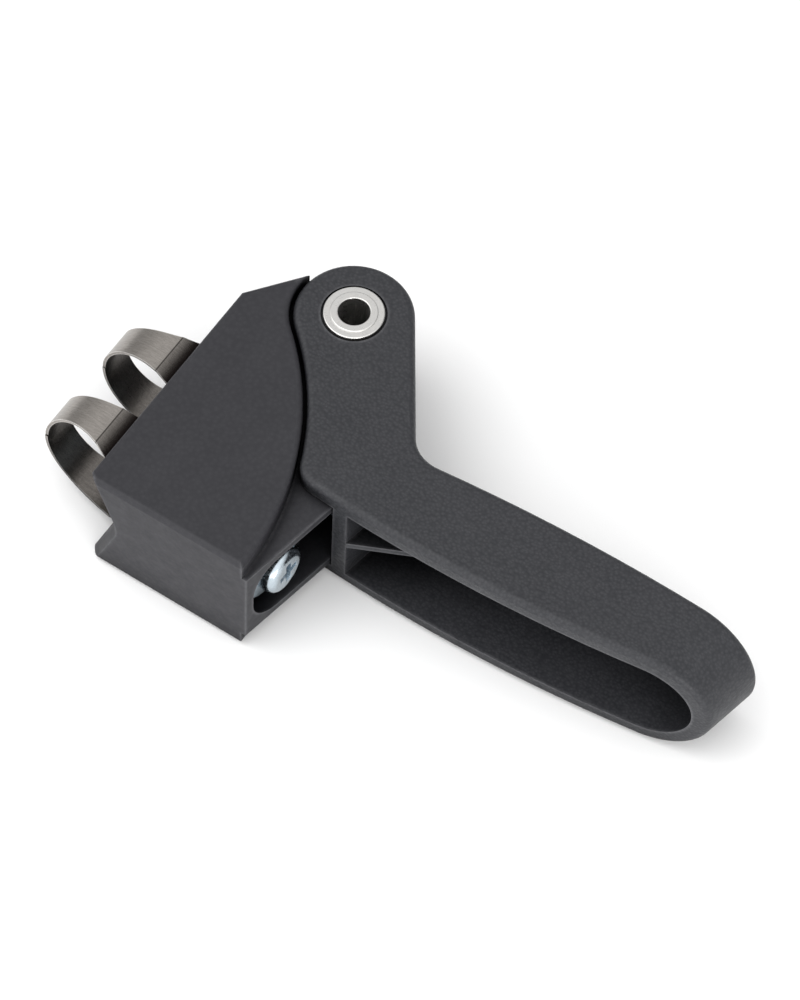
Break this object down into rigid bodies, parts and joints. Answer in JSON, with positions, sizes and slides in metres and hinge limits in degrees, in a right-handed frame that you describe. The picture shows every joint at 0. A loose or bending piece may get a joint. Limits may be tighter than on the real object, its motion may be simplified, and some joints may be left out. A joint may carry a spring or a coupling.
{
  "type": "clamp-on brake lever",
  "caption": "Hollow plastic brake lever on a tubular rivet, in a housing that a sprung steel band clamps to a handlebar tube.",
  "frame": {"origin": "on the axis of the clamped tube, level with the middle between the two clamp screws, in the lever's mid-plane", "axes": "+Y along the tube towards the lever's pivot, +X from the tube towards the lever's tip, +Z along the pivot's axis"},
  "size_m": [0.1363, 0.0686, 0.0273],
  "materials": {
    "housing_plastic": "smooth matte, charcoal",
    "lever_plastic": "fine leathery moulded grain, charcoal",
    "rivet_metal": "satin",
    "washer_metal": "satin",
    "spring_steel": "polished, rolled strip",
    "zinc_steel": "bright zinc plate"
  },
  "bodies": {
    "housing": {"housing": "housing_plastic", "rivet": "rivet_metal", "rivet_washer": "washer_metal", "washer_lower": "zinc_steel", "washer_upper": "zinc_steel"},
    "lever": {"lever": "lever_plastic"},
    "clamp": {"clamp_band": "spring_steel", "nut_plate": "zinc_steel"},
    "screw_lower": {"screw_lower": "zinc_steel"},
    "screw_upper": {"screw_upper": "zinc_steel"}
  },
  "joints": [
    {"name": "lever_pivot", "type": "hinge", "parent": "housing", "child": "lever", "pos_m": [0.0259, 0.0363, 0], "axis": [0, 0, 1], "range_deg": [0, 60]},
    {"name": "screw_lower_turn", "type": "hinge", "parent": "housing", "child": "screw_lower", "pos_m": [0.0395, -0.0102, 0], "axis": [1, 0, 0], "range_deg": [0, 1350]},
    {"name": "screw_upper_turn", "type": "hinge", "parent": "housing", "child": "screw_upper", "pos_m": [0.0395, 0.0102, 0], "axis": [1, 0, 0], "range_deg": [0, 1350]},
    {"name": "clamp_let_out", "type": "slide", "parent": "housing", "child": "clamp", "axis": [-1, 0, 0], "range_m": [0, 0.003]}
  ],
  "couplings": [
    {"joint": "screw_lower_turn", "follows": "clamp_let_out", "rad_per_m": 7854},
    {"joint": "screw_upper_turn", "follows": "clamp_let_out", "rad_per_m": 7854}
  ]
}
